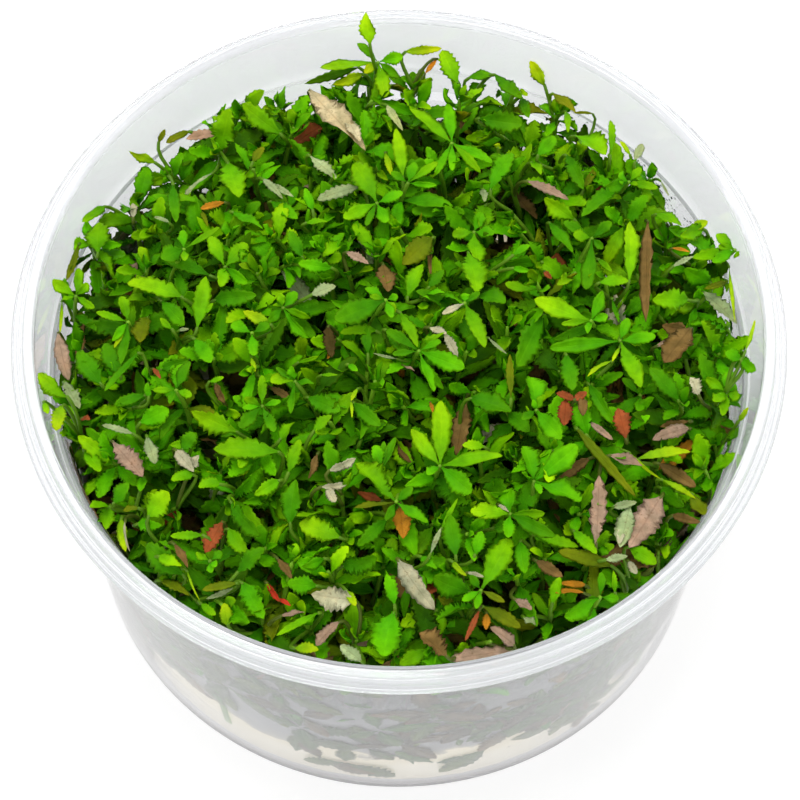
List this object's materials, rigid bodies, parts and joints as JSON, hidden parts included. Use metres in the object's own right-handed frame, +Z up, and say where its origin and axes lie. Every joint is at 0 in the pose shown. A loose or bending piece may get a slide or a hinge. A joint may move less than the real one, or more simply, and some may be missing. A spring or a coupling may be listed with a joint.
{
  "type": "tissue culture pogostemon stellatus in an open cup",
  "caption": "Open clear plastic cup of tissue-cultured stemmed water plants, a dense mass of narrow toothed green leaves on a disc of cream gel.",
  "frame": {"origin": "centre of the cup's underside, on the surface it stands on", "axes": "+Z up through the cup's mouth, -Y towards the picture's camera"},
  "size_m": [0.1, 0.1, 0.06],
  "materials": {
    "clear_plastic": "clear, slightly milky injection-moulded plastic, glossy",
    "culture_gel": "translucent cream gel with a moist surface",
    "leaves": "thin moist leaves, bright saturated green, a few brown, pink or pale"
  },
  "bodies": {
    "root": {"cup": "clear_plastic", "gel": "culture_gel", "plantlet_01": "leaves", "plantlet_02": "leaves", "plantlet_03": "leaves", "plantlet_04": "leaves", "plantlet_05": "leaves", "plantlet_06": "leaves", "plantlet_07": "leaves", "plantlet_08": "leaves", "plantlet_09": "leaves", "plantlet_10": "leaves", "plantlet_11": "leaves", "plantlet_12": "leaves", "plantlet_13": "leaves", "plantlet_14": "leaves", "plantlet_15": "leaves", "plantlet_16": "leaves", "plantlet_17": "leaves", "plantlet_18": "leaves", "plantlet_19": "leaves", "plantlet_20": "leaves", "plantlet_21": "leaves", "plantlet_22": "leaves", "plantlet_23": "leaves", "plantlet_24": "leaves", "plantlet_25": "leaves", "plantlet_26": "leaves", "plantlet_27": "leaves", "plantlet_28": "leaves", "plantlet_29": "leaves", "plantlet_30": "leaves", "plantlet_31": "leaves", "plantlet_32": "leaves", "plantlet_33": "leaves", "plantlet_34": "leaves", "plantlet_35": "leaves", "plantlet_36": "leaves", "plantlet_37": "leaves", "plantlet_38": "leaves", "plantlet_39": "leaves", "plantlet_40": "leaves", "plantlet_41": "leaves", "plantlet_42": "leaves"}
  },
  "joints": []
}
